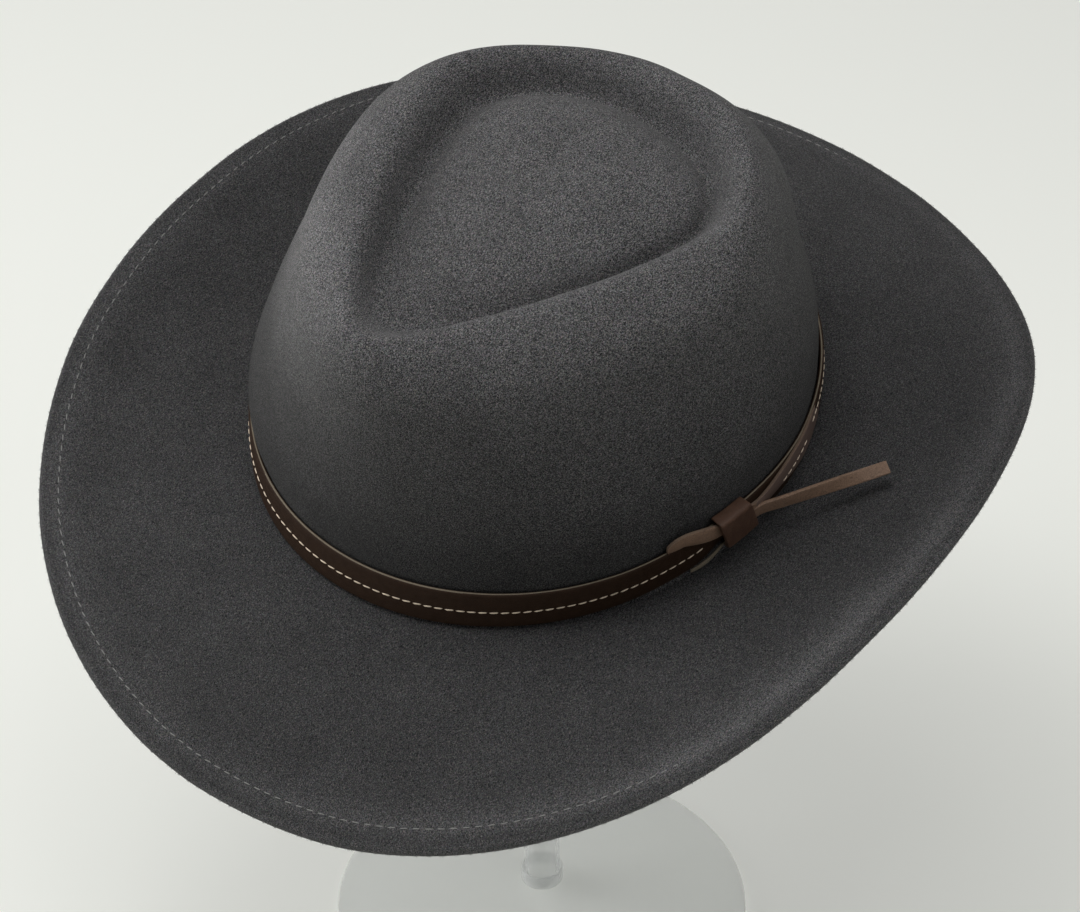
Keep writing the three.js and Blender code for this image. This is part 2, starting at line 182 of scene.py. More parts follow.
# Painted light and shade along the brim's folded edge, lighter at the fuzzy edge and on the fold's
# bulge and darker in the dip between: how far in from the edge in mm, and the tone there
EDGE_LIGHT_AND_SHADE = ((0, 1.5), (1, 1.35), (2.2, 1.04), (4.5, 1.26), (7, 1.34), (9.5, 1.18), (13, 1.06), (18, 1))
# Painted light where the brim's edge turns up to the light: the middle turn, how far to each side,
# then how much painted light is added to the tone at some distances in from the edge in mm
RIM_TURN = math.radians(70)
RIM_SPREAD = math.radians(95)
RIM_PAINTED_LIGHT = ((0, 0.3), (3, 0.1), (6, 0.35), (9, 0.45), (14, 0.25), (22, 0))
# Where the brim's stitches lie deep in the nap: the middle turn, how far to each side, how deep in m,
# and the share of the side that it takes to get there
SUNK_TURN = math.radians(115)
SUNK_SPREAD = math.radians(68)
SUNK_DEPTH = 0.0005
SUNK_EASE = 0.25
# Where the felt swells out over the band: the middle turn, how far to each side, and the heights in m
# where it starts, is fullest and ends
SWELL_TURN = math.radians(-52)
SWELL_SPREAD = math.radians(60)
SWELL_HEIGHTS = (0.014, 0.020, 0.046)
# How far a stitch turns off its row and how much that varies, in radians, and the step from stitch to
# stitch in that variation
STITCH_SLANT = 0.07
STITCH_STRAY = 0.05
STRAY_STEP = 37
# Sides of a thread, cuts along a stitch, and how far its ends dip and narrow as shares of its thickness
THREAD_SIDES = 8
STITCH_CUTS = 3
STITCH_DIP = 0.6
STITCH_TAPER = 0.35
# Runs of stitches along the band: turns from the knot in degrees with the share of the band's height
STITCH_RUNS = (
    ((15.0, 0.55), (30.0, 0.62)),
    ((32.0, 0.75), (60.0, 0.66), (100.0, 0.51), (140.0, 0.47), (352.5, 0.47)),
)


def hat_matrix():
    """From the hat's own frame to the part's frame."""
    axis = Vector((-math.sin(LEAN_TURN), math.cos(LEAN_TURN), 0))
    return Matrix.Translation(HAT_CENTRE) @ Matrix.Rotation(LEAN_ANGLE, 4, axis)


TO_PART = hat_matrix()
TO_HAT = TO_PART.inverted()


class HatSizes(bpy.types.PropertyGroup):
    """Sizes that a user may change."""
    brim_stitch_pitch: FloatProperty(
        name="Brim stitch pitch", description="From one stitch of the brim to the next",
        default=0.0040, min=0.002, unit="LENGTH")
    brim_stitch_length: FloatProperty(
        name="Brim stitch length", description="Length of thread that shows in one stitch",
        default=0.0027, min=0.001, unit="LENGTH")
    brim_stitch_inset: FloatProperty(
        name="Brim stitch inset", description="From the edge of the brim in to the stitches",
        default=0.0068, min=0.003, unit="LENGTH")
    brim_thread: FloatProperty(
        name="Brim thread", description="Thickness of the thread in the brim",
        default=0.00038, min=0.0001, unit="LENGTH")
    band_stitch_pitch: FloatProperty(
        name="Band stitch pitch", description="From one stitch of the band to the next",
        default=0.0036, min=0.002, unit="LENGTH")
    band_stitch_length: FloatProperty(
        name="Band stitch length", description="Length of thread that shows in one stitch",
        default=0.0033, min=0.001, unit="LENGTH")
    band_thread: FloatProperty(
        name="Band thread", description="Thickness of the thread in the band",
        default=0.00058, min=0.0001, unit="LENGTH")
    felt_swell: FloatProperty(
        name="Felt swell", description="How far the felt swells out over the band at its fullest",
        default=0.0021, min=0.0, unit="LENGTH")
    fuzz_length: FloatProperty(
        name="Fuzz length", description="Length of the longest hairs on the brim's edge",
        default=0.0009, min=0.0001, unit="LENGTH")
    fuzz_thickness: FloatProperty(
        name="Fuzz thickness", description="Thickness of a hair on the brim's edge",
        default=0.00006, min=0.00001, unit="LENGTH")
    felt_waver: FloatProperty(
        name="Felt waver", description="How far the felt's surface strays from its true form",
        default=0.0005, min=0.0, unit="LENGTH")
    band_round: FloatProperty(
        name="Band rounding", description="Radius of the long edges of the band",
        default=0.00065, min=0.0001, unit="LENGTH")
    wrap_round: FloatProperty(
        name="Wrap rounding", description="Radius of the edges of the wrap",
        default=0.0007, min=0.0001, unit="LENGTH")
    thong_round: FloatProperty(
        name="Thong rounding", description="Radius of the long edges of the thongs",
        default=0.0003, min=0.0001, unit="LENGTH")
    tie_thickness: FloatProperty(
        name="Tie thickness", description="Thickness of the tie thong",
        default=0.0012, min=0.0004, unit="LENGTH")
    lip_thickness: FloatProperty(
        name="Lip thickness", description="Thickness of the strip that turns out beside the wrap",
        default=0.0007, min=0.0003, unit="LENGTH")
    acrylic_round: FloatProperty(
        name="Acrylic rounding", description="Radius of the edges of the clear stand",
        default=0.0007, min=0.0001, unit="LENGTH")


class HatColours(bpy.types.PropertyGroup):
    """Colours that a user may change."""
    felt_dark: FloatVectorProperty(
        name="Felt, dark fibres", description="Colour between the felt's fibres",
        subtype="COLOR", default=(0.0065, 0.0065, 0.007), min=0, max=1)
    felt_light: FloatVectorProperty(
        name="Felt, light fibres", description="Colour of the fibres that catch the light",
        subtype="COLOR", default=(0.187, 0.188, 0.190), min=0, max=1)
    band_brown: FloatVectorProperty(
        name="Band leather", description="Face of the band",
        subtype="COLOR", default=(0.032, 0.0155, 0.0078), min=0, max=1)
    wrap_brown: FloatVectorProperty(
        name="Wrap leather", description="Face of the wrap",
        subtype="COLOR", default=(0.124, 0.066, 0.043), min=0, max=1)
    thong_brown: FloatVectorProperty(
        name="Thong leather", description="Face of the thongs",
        subtype="COLOR", default=(0.29, 0.185, 0.125), min=0, max=1)
    thong_edge: FloatVectorProperty(
        name="Thong edge", description="Cut edge of the thongs",
        subtype="COLOR", default=(0.22, 0.15, 0.105), min=0, max=1)
    raw_edge: FloatVectorProperty(
        name="Raw edge", description="Cut edge of the leather",
        subtype="COLOR", default=(0.30, 0.25, 0.18), min=0, max=1)
    brim_thread: FloatVectorProperty(
        name="Brim thread", description="Thread round the brim",
        subtype="COLOR", default=(0.30, 0.30, 0.285), min=0, max=1)
    band_thread: FloatVectorProperty(
        name="Band thread", description="Thread along the band",
        subtype="COLOR", default=(1.0, 0.83, 0.64), min=0, max=1)
    floor: FloatVectorProperty(
        name="Floor", description="Plain floor of the studio",
        subtype="COLOR", default=(0.64, 0.648, 0.608), min=0, max=1)


class StudioLook(bpy.types.PropertyGroup):
    """Lights that a user may change."""
    left_power: FloatProperty(
        name="Left light", description="Soft light on the left, high", default=2.7, unit="POWER")
    low_left_power: FloatProperty(
        name="Low left light", description="Soft light on the left, low", default=11.6, unit="POWER")
    top_power: FloatProperty(
        name="Top light", description="Soft light straight above the hat", default=9.2, unit="POWER")
    top_left_power: FloatProperty(
        name="Top left light", description="Soft light above the hat and a little left",
        default=11.2, unit="POWER")
    right_power: FloatProperty(
        name="Right light", description="Soft light on the right, high", default=2.4, unit="POWER")
    front_right_power: FloatProperty(
        name="Front right light", description="Soft light between camera and right",
        default=4.6, unit="POWER")
    floor_glow: FloatProperty(
        name="Floor glow", description="Strength of the light that comes through the floor", default=0.33)


# Selecting and finishing

def deselect_all():
    for each in bpy.context.selected_objects:
        each.select_set(False)


def select_only(piece):
    deselect_all()
    piece.select_set(True)
    bpy.context.view_layer.objects.active = piece


def new_piece(name, mesh):
    piece = bpy.data.objects.new(name, mesh)
    bpy.context.scene.collection.objects.link(piece)
    return piece


def apply_all(piece):
    select_only(piece)
    for modifier in list(piece.modifiers):
        bpy.ops.object.modifier_apply(modifier=modifier.name)


def set_at_origin(piece):
    select_only(piece)
    bpy.ops.object.transform_apply(location=True, rotation=True, scale=True)


def hand_over(piece, slot, *nodes):
    """The finished piece rides with the part and stands for its nodes."""
    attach(piece, "root")
    if nodes:
        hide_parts(*nodes)
    deselect_all()


def merged_copy(node, name):
    """A copy of a node's mesh, its loose triangles merged and paired into quads."""
    piece = new_piece(name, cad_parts[node].data.copy())
    piece.data.materials.clear()
    select_only(piece)
    bpy.ops.mesh.customdata_custom_splitnormals_clear()
    bpy.ops.object.mode_set(mode="EDIT")
    bpy.ops.mesh.select_all(action="SELECT")
    bpy.ops.mesh.remove_doubles(threshold=MERGE_DISTANCE)
    bpy.ops.mesh.tris_convert_to_quads(
        face_threshold=math.radians(60), shape_threshold=math.radians(80), topology_influence=1.5)
    bpy.ops.object.mode_set(mode="OBJECT")
    return piece


def round_and_smooth(piece, edge_round, sharp_turn=SHARP_TURN):
    """Rounds the sharp edges, subdivides and shades smooth."""
    bevel = piece.modifiers.new("rounding", "BEVEL")
    bevel.width = edge_round
    bevel.segments = 2
    bevel.limit_method = "ANGLE"
    bevel.angle_limit = sharp_turn
    smooth = piece.modifiers.new("smoothing", "SUBSURF")
    smooth.levels = smooth.render_levels = SMOOTH_LEVELS
    apply_all(piece)
    bpy.ops.object.shade_smooth()


def surface_tree(*pieces):
    """The surface of some pieces in the hat's own frame, for rays."""
    points, faces = [], []
    for piece in pieces:
        start = len(points)
        points += [TO_HAT @ v.co for v in piece.data.vertices]
        faces += [tuple(start + i for i in p.vertices) for p in piece.data.polygons]
    return BVHTree.FromPolygons(points, faces)


def find_surface(tree, start, direction, what):
    """Where a ray meets the surface, and the surface's normal there."""
    point, normal, _, _ = tree.ray_cast(start, direction)
    if point is None:
        raise RuntimeError("No surface was met for the " + what)
    return point, normal


def smooth_step(value, low, high):
    share = min(max((value - low) / (high - low), 0), 1)
    return share * share * (3 - 2 * share)


def cosine_share(turn, middle, spread):
    """1 at the middle turn, and down to 0 at the spread to each side of it."""
    side = min(abs(math.remainder(turn - middle, math.tau)) / spread, 1)
    return math.cos(side * math.pi / 2) ** 2


def between(table, value):
    """A value read from a table of (place, value), straight between its points."""
    for (first, low), (last, high) in zip(table, table[1:]):
        if value <= last:
            return low + (high - low) * max(value - first, 0) / (last - first)
    return table[-1][1]


def growth_at(table, turn):
    """The table's value at a turn, eased between its rows, in metres."""
    turn = math.degrees(turn)
    for (first, low), (last, high) in zip(table, table[1:]):
        if turn <= last:
            return (low + (high - low) * smooth_step(turn, first, last)) / 1000
    return table[-1][1] / 1000


def radial(turn):
    return Vector((math.cos(turn), math.sin(turn), 0))


def turn_of(place):
    return math.atan2(place.y, place.x)


def head_oval(place):
    """How far a place is from the hat's upright axis, as a share of the head's oval."""
    return math.hypot(place.x / (HEAD_LENGTH / 2), place.y / (HEAD_WIDTH / 2))


def wall_point(tree, turn, height, off):
    """A point off the felt wall, straight out from the hat's upright axis; lengths in mm."""
    out = radial(turn)
    inside = find_surface(tree, Vector((0, 0, height / 1000)), out, "felt wall from inside")[0]
    outside = find_surface(tree, inside + out * WALL_REACH, -out, "felt wall from outside")[0]
    return outside + out * off / 1000


class BandHeights:
    """The band's lower and upper edge at any turn, from its mesh."""

    def __init__(self, band):
        places = (TO_HAT @ v.co for v in band.data.vertices)
        self.columns = sorted((turn_of(p), p.z) for p in places)

    def at(self, turn, share):
        """The height in mm at a share of the band's height."""
        near = [z for a, z in self.columns if abs(math.remainder(a - turn, math.tau)) < COLUMN_REACH]
        if not near:
            raise RuntimeError("The band has no points at that turn")
        return 1000 * (min(near) + (max(near) - min(near)) * share)


def band_row(tree, heights, row):
    """The two ends of a row given as turn, lower share, upper share and distance off the felt."""
    turn = KNOT_TURN + math.radians(row[0])
    return [wall_point(tree, turn, heights.at(turn, share), row[3]) for share in row[1:3]]


def ribbon(name, rows, bulge, thickness, edge_round, face, raw):
    """A leather strip through rows of two points each, a little full in the middle."""
    columns = 5
    mesh = bpy.data.meshes.new(name)
    points, faces = [], []
    for low, high in rows:
        middle = (low + high) / 2
        out = Vector((middle.x, middle.y, 0)).normalized()
        for i in range(columns):
            share = i / (columns - 1)
            full = bulge * 4 * share * (1 - share)
            points.append(TO_PART @ (low.lerp(high, share) + out * full))
    for i in range(len(rows) - 1):
        for j in range(columns - 1):
            a = i * columns + j
            faces.append((a, a + 1, a + columns + 1, a + columns))
    mesh.from_pydata(points, [], faces)
    piece = new_piece(name, mesh)
    mesh.materials.append(face)
    mesh.materials.append(raw)
    solid = piece.modifiers.new("thickness", "SOLIDIFY")
    solid.thickness = thickness
    solid.offset = 0
    solid.material_offset_rim = 1
    round_and_smooth(piece, edge_round)
    return piece


# Node helpers

def new_material(name):
    material = bpy.data.materials.new(name)
    material.use_nodes = True
    return material, material.node_tree, material.node_tree.nodes["Principled BSDF"]


def set_inputs(node, **values):
    """Sets the node's own sockets; a space in a socket's name is written as an underscore."""
    for key, value in values.items():
        node.inputs[key.replace("_", " ")].default_value = value


def add_node(tree, kind, **values):
    """A node whose settings or sockets with those names get those values."""
    node = tree.nodes.new(kind)
    for key, value in values.items():
        if hasattr(node, key):
            setattr(node, key, value)
        else:
            set_inputs(node, **{key: value})
    return node


def map_range(tree, value, low, high):
    """A socket's value of 0 to 1, spread from low to high."""
    node = add_node(tree, "ShaderNodeMapRange", To_Min=low, To_Max=high)
    tree.links.new(value, node.inputs["Value"])
    return node.outputs[0]


def multiplied(tree, first, second):
    node = add_node(tree, "ShaderNodeMath", operation="MULTIPLY")
    tree.links.new(first, node.inputs[0])
    tree.links.new(second, node.inputs[1])
    return node.outputs[0]


def attribute_value(tree, name):
    return add_node(tree, "ShaderNodeAttribute", attribute_name=name).outputs["Fac"]


def colour(rgb):
    return (rgb[0], rgb[1], rgb[2], 1.0)


def new_group(name, inputs, outputs):
    """A shader node group with named sockets: inputs as (name, default), outputs as (name, type)."""
    group = bpy.data.node_groups.new(name, "ShaderNodeTree")
    for label, default in inputs:
        kind = "NodeSocketVector" if default is None else "NodeSocketFloat"
        socket = group.interface.new_socket(label, in_out="INPUT", socket_type=kind)
        if default is not None:
            socket.default_value = default
    for label, kind in outputs:
        group.interface.new_socket(label, in_out="OUTPUT", socket_type=kind)
    return group, group.nodes.new("NodeGroupInput"), group.nodes.new("NodeGroupOutput")


def fibre_group():
    """Short matted fibres: a fine mottle with its height, wider patches, and specks of other tones."""
    if "matted_fibres" in bpy.data.node_groups:
        return bpy.data.node_groups["matted_fibres"]
    group, given, out = new_group(
        "matted_fibres",
        [("Vector", None), ("Fibre Scale", 1400.0), ("Patch Scale", 60.0), ("Contrast", 1.0)],
        [("Mottle", "NodeSocketFloat"), ("Patches", "NodeSocketFloat"), ("Height", "NodeSocketFloat"),
         ("Specks", "NodeSocketColor")])
    link = group.links.new
    layers = []
    for turn, stretch in (((0, 0, 0.5), (0.55, 1, 1)), ((0, 0.4, 2.1), (0.55, 1, 1))):
        turned = add_node(group, "ShaderNodeMapping", Rotation=turn, Scale=stretch)
        link(given.outputs["Vector"], turned.inputs["Vector"])
        layer = add_node(group, "ShaderNodeTexNoise", Detail=2.5, Roughness=0.6, Distortion=0.8)
        link(turned.outputs["Vector"], layer.inputs["Vector"])
        link(given.outputs["Fibre Scale"], layer.inputs["Scale"])
        layers.append(layer)
    fine = add_node(group, "ShaderNodeMath", operation="MAXIMUM")
    link(layers[0].outputs["Fac"], fine.inputs[0])
    link(layers[1].outputs["Fac"], fine.inputs[1])
    specks = add_node(group, "ShaderNodeVectorMath", operation="MULTIPLY_ADD")
    specks.inputs[1].default_value = (0.8, 0.8, 0.8)
    specks.inputs[2].default_value = (0.6, 0.6, 0.6)
    link(layers[0].outputs["Color"], specks.inputs[0])
    patch = add_node(group, "ShaderNodeTexNoise", Detail=4.0, Roughness=0.6)
    link(given.outputs["Vector"], patch.inputs["Vector"])
    link(given.outputs["Patch Scale"], patch.inputs["Scale"])
    centred = add_node(group, "ShaderNodeMath", operation="SUBTRACT")
    centred.inputs[1].default_value = 0.55
    link(fine.outputs[0], centred.inputs[0])
    spread = add_node(group, "ShaderNodeMath", operation="MULTIPLY_ADD")
    spread.inputs[2].default_value = 0.5
    link(centred.outputs[0], spread.inputs[0])
    link(given.outputs["Contrast"], spread.inputs[1])
    clamp = add_node(group, "ShaderNodeClamp")
    link(spread.outputs[0], clamp.inputs["Value"])
    sharp = add_node(group, "ShaderNodeMath", operation="POWER")
    sharp.inputs[1].default_value = 1.6
    link(clamp.outputs[0], sharp.inputs[0])
    link(sharp.outputs[0], out.inputs["Mottle"])
    link(patch.outputs["Fac"], out.inputs["Patches"])
    link(fine.outputs[0], out.inputs["Height"])
    link(specks.outputs[0], out.inputs["Specks"])
    return group


def leather_group():
    """Fine leather grain: cells with creases between them, and soft colour drift."""
    if "leather_grain" in bpy.data.node_groups:
        return bpy.data.node_groups["leather_grain"]
    group, given, out = new_group(
        "leather_grain",
        [("Vector", None), ("Grain Scale", 1500.0), ("Drift Scale", 90.0)],
        [("Grain", "NodeSocketFloat"), ("Drift", "NodeSocketFloat"), ("Height", "NodeSocketFloat")])
    link = group.links.new
    cells = add_node(group, "ShaderNodeTexVoronoi", feature="DISTANCE_TO_EDGE")
    link(given.outputs["Vector"], cells.inputs["Vector"])
    link(given.outputs["Grain Scale"], cells.inputs["Scale"])
    crease = add_node(group, "ShaderNodeMapRange", From_Max=0.12)
    link(cells.outputs["Distance"], crease.inputs["Value"])
    drift = add_node(group, "ShaderNodeTexNoise", Detail=3.0)
    link(given.outputs["Vector"], drift.inputs["Vector"])
    link(given.outputs["Drift Scale"], drift.inputs["Scale"])
    mixed = add_node(group, "ShaderNodeMath", operation="MULTIPLY_ADD")
    mixed.inputs[1].default_value = 0.7
    link(drift.outputs["Fac"], mixed.inputs[0])
    link(crease.outputs[0], mixed.inputs[2])
    link(crease.outputs[0], out.inputs["Grain"])
    link(drift.outputs["Fac"], out.inputs["Drift"])
    link(mixed.outputs[0], out.inputs["Height"])
    return group


def place_group(tree, group, stretch=(1, 1, 1), **values):
    """The group on object coordinates; a small stretch value draws its pattern out along that axis."""
    node = tree.nodes.new("ShaderNodeGroup")
    node.node_tree = group
    set_inputs(node, **values)
    where = tree.nodes.new("ShaderNodeTexCoord")
    turned = add_node(tree, "ShaderNodeMapping", Scale=stretch)
    tree.links.new(where.outputs["Object"], turned.inputs["Vector"])
    tree.links.new(turned.outputs["Vector"], node.inputs["Vector"])
    return node


def mix_colours(tree, share, first, second):
    """A colour mix; share is a socket, and first and second are sockets or colours."""
    node = tree.nodes.new("ShaderNodeMix")
    node.data_type = "RGBA"
    tree.links.new(share, node.inputs["Factor"])
    for socket, value in ((node.inputs[6], first), (node.inputs[7], second)):
        if isinstance(value, bpy.types.NodeSocket):
            tree.links.new(value, socket)
        else:
            socket.default_value = colour(value)
    return node.outputs[2]


def add_bump(tree, shader, height, strength, distance):
    bump = add_node(tree, "ShaderNodeBump", Strength=strength, Distance=distance)
    tree.links.new(height, bump.inputs["Height"])
    tree.links.new(bump.outputs["Normal"], shader.inputs["Normal"])


def felt_material(look):
    """Felt: pale and loose where the nap is brushed, darker where it is pressed, with painted light and
    shade by place.
    """
    material, tree, shader = new_material("charcoal_felt")
    fibres = place_group(tree, fibre_group(), Fibre_Scale=3150.0, Patch_Scale=45.0)
    nap = attribute_value(tree, "brushed_nap")
    tree.links.new(map_range(tree, nap, 3.0, 4.3), fibres.inputs["Contrast"])
    plain = mix_colours(tree, fibres.outputs["Mottle"], look.felt_dark, look.felt_light)
    speckled = add_node(tree, "ShaderNodeMix", data_type="RGBA", blend_type="MULTIPLY")
    speckled.inputs["Factor"].default_value = 1.0
    tree.links.new(plain, speckled.inputs[6])
    tree.links.new(fibres.outputs["Specks"], speckled.inputs[7])
    level = map_range(tree, nap, 0.73, 1.0)
    drift = map_range(tree, fibres.outputs["Patches"], 0.74, 1.26)
    toned = tree.nodes.new("ShaderNodeHueSaturation")
    # The painted light and shade attribute scales the felt's colour
    tone = multiplied(tree, multiplied(tree, level, drift), attribute_value(tree, "felt_painted_light_and_shade"))
    tree.links.new(tone, toned.inputs["Value"])
    tree.links.new(speckled.outputs[2], toned.inputs["Color"])
    tree.links.new(toned.outputs["Color"], shader.inputs["Base Color"])
    set_inputs(shader, Roughness=0.95, Specular_IOR_Level=0.15)
    set_inputs(shader, Sheen_Weight=0.12, Sheen_Roughness=0.3, Sheen_Tint=(0.8, 0.8, 0.78, 1))
    add_bump(tree, shader, fibres.outputs["Height"], 0.9, 0.0004)
    return material


def hair_material(look):
    """Felt colour for the hairs, which are too thin to show a pattern."""
    material, _, shader = new_material("felt_hair")
    shader.inputs["Base Color"].default_value = colour([part * 0.7 for part in look.felt_light])
    set_inputs(shader, Roughness=0.9, Specular_IOR_Level=0.2)
    return material


def leather_material(name, face, roughness, coat, stretch, creases):
    """Leather whose grain and creases are drawn out by the stretch; creases is the bump's strength."""
    material, tree, shader = new_material(name)
    grain = place_group(tree, leather_group(), stretch, Grain_Scale=1700.0, Drift_Scale=400.0)
    darker = tuple(0.62 * part for part in face)
    paler = tuple(1.35 * part for part in face)
    drifted = mix_colours(tree, grain.outputs["Drift"], darker, paler)
    creased = mix_colours(tree, grain.outputs["Grain"], darker, drifted)
    tree.links.new(creased, shader.inputs["Base Color"])
    rough = map_range(tree, grain.outputs["Drift"], roughness + 0.14, roughness - 0.06)
    tree.links.new(rough, shader.inputs["Roughness"])
    set_inputs(shader, Specular_IOR_Level=0.18, Coat_Weight=coat, Coat_Roughness=0.35)
    add_bump(tree, shader, grain.outputs["Height"], creases, 0.0003)
    return material


def fibrous_material(name, face, scales, darkest, roughness, bump):
    """Plain fibres: scales of the fibres and patches, share of the darkest tone, bump and its depth."""
    material, tree, shader = new_material(name)
    fibres = place_group(
        tree, fibre_group(), Fibre_Scale=scales[0], Patch_Scale=scales[1], Contrast=2.0)
    darker = tuple(darkest * part for part in face)
    tree.links.new(mix_colours(tree, fibres.outputs["Mottle"], darker, face), shader.inputs["Base Color"])
    shader.inputs["Roughness"].default_value = roughness
    add_bump(tree, shader, fibres.outputs["Height"], *bump)
    return material


def raw_edge_material(name, face):
    return fibrous_material(name, face, (2600.0, 160.0), 0.55, 0.85, (0.6, 0.0002))


def thread_material(name, face):
    return fibrous_material(name, face, (3000.0, 200.0), 0.6, 0.7, (0.5, 0.0001))


def solids_material(slot):
    """The plain material that the solids of a slot came with."""
    return bpy.data.materials[slot]


def rim_glint_material():
    """A paler, less clear finish for the edge of the clear base: a painted highlight for the light lines
    along its rim.
    """
    material, _, shader = new_material("clear_acrylic_rim_glint")
    set_inputs(shader, Base_Color=(0.97, 0.985, 0.96, 1), Transmission_Weight=0.55, IOR=1.49, Alpha=0.4)
    shader.inputs["Roughness"].default_value = 0.2
    return material


# Stitches

def stitch_mesh(length, thickness):
    """One stitch that lies along X with Z up, its ends dipping into the material."""
    deselect_all()
    bpy.ops.mesh.primitive_cylinder_add(
        vertices=THREAD_SIDES, radius=thickness / 2, depth=length, rotation=(0, math.pi / 2, 0))
    shape = bpy.context.object
    set_at_origin(shape)
    bpy.ops.object.mode_set(mode="EDIT")
    bpy.ops.mesh.select_all(action="DESELECT")
    mesh = bmesh.from_edit_mesh(shape.data)
    for edge in mesh.edges:
        a, b = edge.verts
        edge.select_set(abs(a.co.x - b.co.x) > length / 2)
    bmesh.update_edit_mesh(shape.data)
    bpy.ops.mesh.subdivide(number_cuts=STITCH_CUTS)
    mesh = bmesh.from_edit_mesh(shape.data)
    for vertex in mesh.verts:
        share = abs(vertex.co.x) / (length / 2)
        vertex.co.z -= thickness * STITCH_DIP * share ** 6
        vertex.co.y *= 1 - STITCH_TAPER * share ** 4
    bmesh.update_edit_mesh(shape.data)
    bpy.ops.object.mode_set(mode="OBJECT")
    return shape


def sew(name, places, length, thickness, material):
    """One piece of many stitches; each place is (point, along, up) in the hat's own frame."""
    single = stitch_mesh(length, thickness)
    row = bmesh.new()
    for i, (point, towards, up) in enumerate(places):
        slant = STITCH_SLANT + STITCH_STRAY * math.sin(STRAY_STEP * i)
        along = Matrix.Rotation(slant, 3, up) @ towards
        side = up.cross(along).normalized()
        ahead = side.cross(up).normalized()
        turn = Matrix((ahead, side, up.normalized())).transposed().to_4x4()
        one = single.data.copy()
        one.transform(TO_PART @ Matrix.Translation(point) @ turn)
        row.from_mesh(one)
        bpy.data.meshes.remove(one)
    mesh = bpy.data.meshes.new(name)
    row.to_mesh(mesh)
    row.free()
    bpy.data.objects.remove(single)
    piece = new_piece(name, mesh)
    mesh.materials.append(material)
    select_only(piece)
    bpy.ops.object.shade_smooth()
    return piece


def even_places(points, pitch):
    """Points at an even pitch along a closed run of points, with the direction at each."""
    ends = points[1:] + points[:1]
    lengths = [(b - a).length for a, b in zip(points, ends)]
    count = round(sum(lengths) / pitch)
    step = sum(lengths) / count
    places, index, left = [], 0, step / 2
    for _ in range(count):
        while left > lengths[index]:
            left -= lengths[index]
            index += 1
        along = (ends[index] - points[index]).normalized()
        places.append((points[index] + along * left, along))
        left += step
    return places


def brim_outline(felt):
    """The brim's edge seen from above, in the hat's own frame."""
    flat = [(TO_HAT @ v.co).to_2d() for v in felt.data.vertices]
    return [flat[i] for i in geometry.convex_hull_2d(flat)]


def brim_stitch_places(felt, inset, pitch, from_above):
    """Places on the brim's upper or lower face, an inset in from its edge."""
    outline = brim_outline(felt)
    inner = []
    for i, point in enumerate(outline):
        before = outline[i - 1]
        after = outline[(i + 1) % len(outline)]
        along = (after - before).normalized()
        inward = Vector((-along.y, along.x))
        if inward.dot(point) > 0:
            inward.negate()
        inner.append((point + inward * inset).to_3d())
    tree = surface_tree(felt)
    down = Vector((0, 0, -1 if from_above else 1))
    found = []
    for point, along in even_places(inner, pitch):
        hit, normal = find_surface(tree, point - down * RAY_START, down, "brim stitches")
        side = abs(math.remainder(turn_of(point) - SUNK_TURN, math.tau)) / SUNK_SPREAD
        sunk = smooth_step(1 - side, 0, SUNK_EASE)
        found.append((hit - normal * SUNK_DEPTH * sunk, along, normal))
    return found


def band_stitch_places(band, tie, pitch):
    """Places on the outer face of the band and of the layer over it, along the runs of stitches."""
    tree = surface_tree(band, tie)
    heights = BandHeights(band)
    knot = math.degrees(KNOT_TURN)
    found = []
    for run in STITCH_RUNS:
        turn, last = run[0][0], None
        while turn < run[-1][0]:
            angle = math.radians(knot + turn)
            out = radial(angle)
            level = heights.at(angle, between(run, turn)) / 1000
            hit, normal = find_surface(tree, out * RAY_START + Vector((0, 0, level)), -out, "band stitches")
            if last is not None:
                found.append(((hit + last) / 2, (hit - last).normalized(), normal))
            last = hit
            turn += math.degrees(pitch / hit.to_2d().length)
    return found


# Pieces

